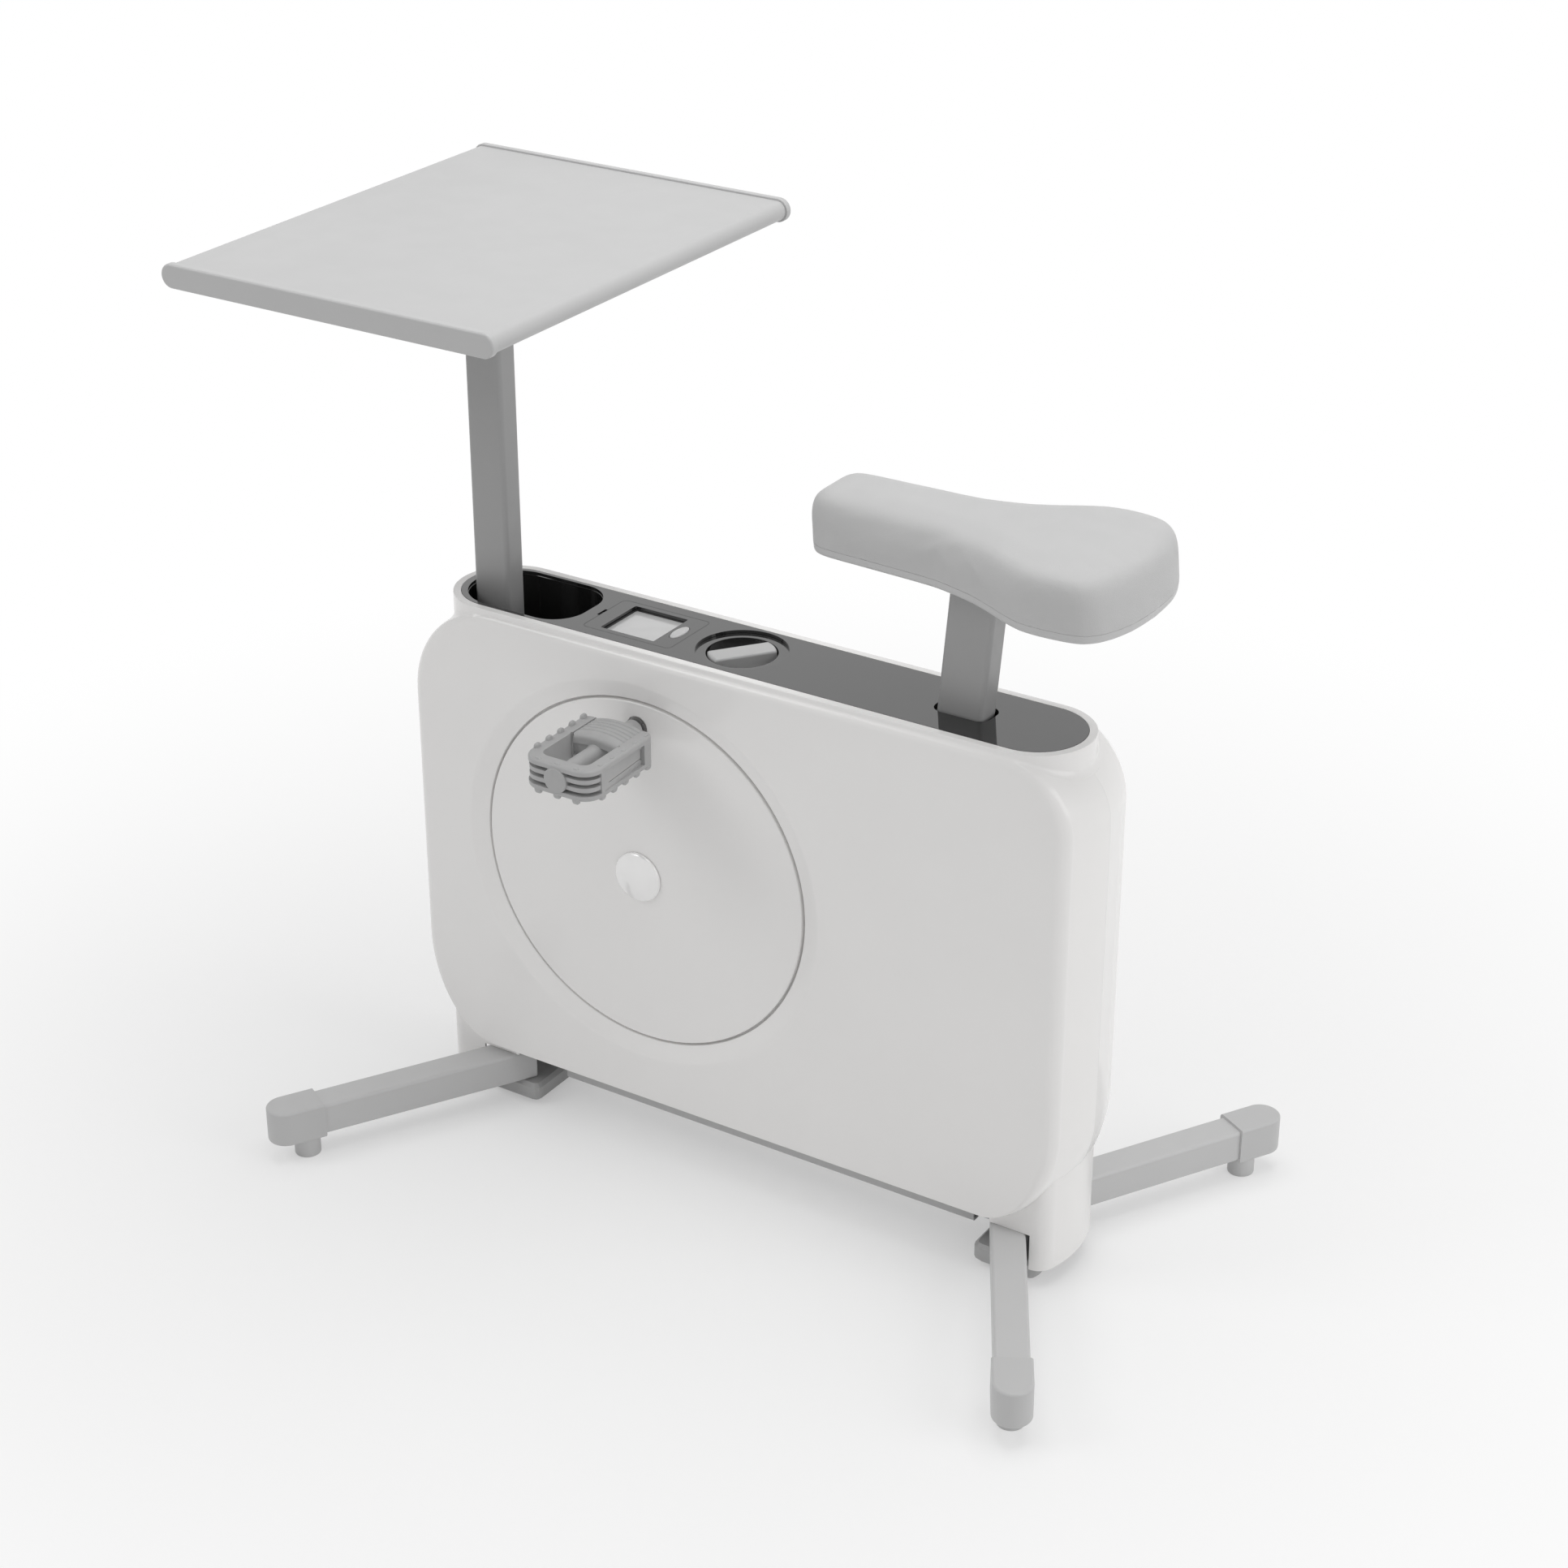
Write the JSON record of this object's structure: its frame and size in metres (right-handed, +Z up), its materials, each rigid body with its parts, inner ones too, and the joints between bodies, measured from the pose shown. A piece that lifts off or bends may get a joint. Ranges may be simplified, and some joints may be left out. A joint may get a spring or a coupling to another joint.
{
  "type": "exercise bike",
  "caption": "Slim desk exercise bike: white body with round crank plates and pedals, padded saddle on a leaning post, and a writing desk on an upright post",
  "frame": {"origin": "on the floor, at the middle of the bike's outline seen from above", "axes": "+Z up; the saddle is at +X and the desk at -X; the plane Y = 0 is the middle of the body, and the pedal that is up at rest is at -Y"},
  "size_m": [0.9884, 0.58, 0.967],
  "materials": {
    "white_shell": "gloss",
    "dark_deck": "gloss",
    "black_plastic": "matte",
    "pale_plastic": "satin",
    "saddle_pad": "matte",
    "post_grey": "satin",
    "leg_grey": "satin",
    "steel": "brushed",
    "iron": "machined",
    "rubber": "matte",
    "display_glass": "gloss"
  },
  "bodies": {
    "frame": {"chassis_beam": "leg_grey", "front_hub_block": "leg_grey", "rear_hub_block": "leg_grey", "front_clamp_plate": "steel", "rear_clamp_plate": "steel", "front_near_leg": "leg_grey", "front_far_leg": "leg_grey", "rear_near_leg": "leg_grey", "rear_far_leg": "leg_grey", "front_near_leg_cap": "pale_plastic", "front_far_leg_cap": "pale_plastic", "rear_near_leg_cap": "pale_plastic", "rear_far_leg_cap": "pale_plastic", "near_cover": "white_shell", "far_cover": "white_shell", "top_collar": "white_shell", "front_skirt": "white_shell", "rear_skirt": "white_shell", "deck_panel": "dark_deck", "pocket_cup": "dark_deck", "display_bezel": "dark_deck", "display_housing": "dark_deck", "display_window": "display_glass", "knob_bezel": "dark_deck", "desk_sleeve": "black_plastic", "seat_sleeve": "black_plastic", "near_frame_plate": "steel", "far_frame_plate": "steel", "near_crank_bearing": "steel", "far_crank_bearing": "steel", "flywheel_axle": "steel", "drive_belt": "rubber"},
    "crank": {"crank_axle": "steel", "drive_pulley": "black_plastic", "near_crank_disc": "white_shell", "far_crank_disc": "white_shell", "near_hub_cap": "white_shell", "far_hub_cap": "white_shell", "near_pedal_spindle": "steel", "far_pedal_spindle": "steel"},
    "near_pedal": {"near_pedal": "pale_plastic"},
    "far_pedal": {"far_pedal": "pale_plastic"},
    "flywheel": {"flywheel": "iron"},
    "desk": {"desk_post": "post_grey", "desk_head": "post_grey", "desk_board": "pale_plastic", "near_desk_cap": "pale_plastic", "far_desk_cap": "pale_plastic"},
    "seat": {"seat_post": "post_grey", "saddle_clamp": "post_grey", "saddle_pan": "pale_plastic", "saddle_cushion": "saddle_pad"},
    "knob": {"resistance_knob": "pale_plastic"},
    "brake": {"brake_arm": "steel"},
    "button": {"mode_button": "pale_plastic"},
    "front_near_foot": {"front_near_levelling_foot": "pale_plastic"},
    "front_far_foot": {"front_far_levelling_foot": "pale_plastic"},
    "rear_near_foot": {"rear_near_levelling_foot": "pale_plastic"},
    "rear_far_foot": {"rear_far_levelling_foot": "pale_plastic"}
  },
  "joints": [
    {"name": "crank_turn", "type": "hinge", "parent": "frame", "child": "crank", "pos_m": [-0.0847, 0, 0.3384], "axis": [0, 1, 0], "continuous": true},
    {"name": "near_pedal_turn", "type": "hinge", "parent": "crank", "child": "near_pedal", "pos_m": [-0.08658, 0, 0.50439], "axis": [0, 1, 0], "continuous": true},
    {"name": "far_pedal_turn", "type": "hinge", "parent": "crank", "child": "far_pedal", "pos_m": [-0.08282, 0, 0.17241], "axis": [0, 1, 0], "continuous": true},
    {"name": "flywheel_turn", "type": "hinge", "parent": "frame", "child": "flywheel", "pos_m": [0.0851, 0, 0.3], "axis": [0, 1, 0], "continuous": true},
    {"name": "desk_slide", "type": "slide", "parent": "frame", "child": "desk", "axis": [0, 0, 1], "range_m": [-0.12, 0.1]},
    {"name": "seat_slide", "type": "slide", "parent": "frame", "child": "seat", "axis": [0.0872, 0, 0.9962], "range_m": [-0.1, 0.1]},
    {"name": "knob_turn", "type": "hinge", "parent": "frame", "child": "knob", "pos_m": [0.0011, 0, 0.589], "axis": [0, 0, -1], "range_deg": [0, 270]},
    {"name": "brake_swing", "type": "hinge", "parent": "frame", "child": "brake", "pos_m": [0.18729, 0, 0.359], "axis": [0, -1, 0], "range_deg": [-0.1, 2.3]},
    {"name": "button_press", "type": "slide", "parent": "frame", "child": "button", "axis": [0, 0, -1], "range_m": [0, 0.0015], "stiffness_N_per_m": 900, "springref_m": -0.001},
    {"name": "front_near_foot_screw", "type": "slide", "parent": "frame", "child": "front_near_foot", "axis": [0, 0, -1], "range_m": [0, 0.01]},
    {"name": "front_far_foot_screw", "type": "slide", "parent": "frame", "child": "front_far_foot", "axis": [0, 0, -1], "range_m": [0, 0.01]},
    {"name": "rear_near_foot_screw", "type": "slide", "parent": "frame", "child": "rear_near_foot", "axis": [0, 0, -1], "range_m": [0, 0.01]},
    {"name": "rear_far_foot_screw", "type": "slide", "parent": "frame", "child": "rear_far_foot", "axis": [0, 0, -1], "range_m": [0, 0.01]}
  ],
  "couplings": [
    {"joint": "flywheel_turn", "follows": "crank_turn", "ratio": 4.0094},
    {"joint": "brake_swing", "follows": "knob_turn", "ratio": 0.008}
  ]
}
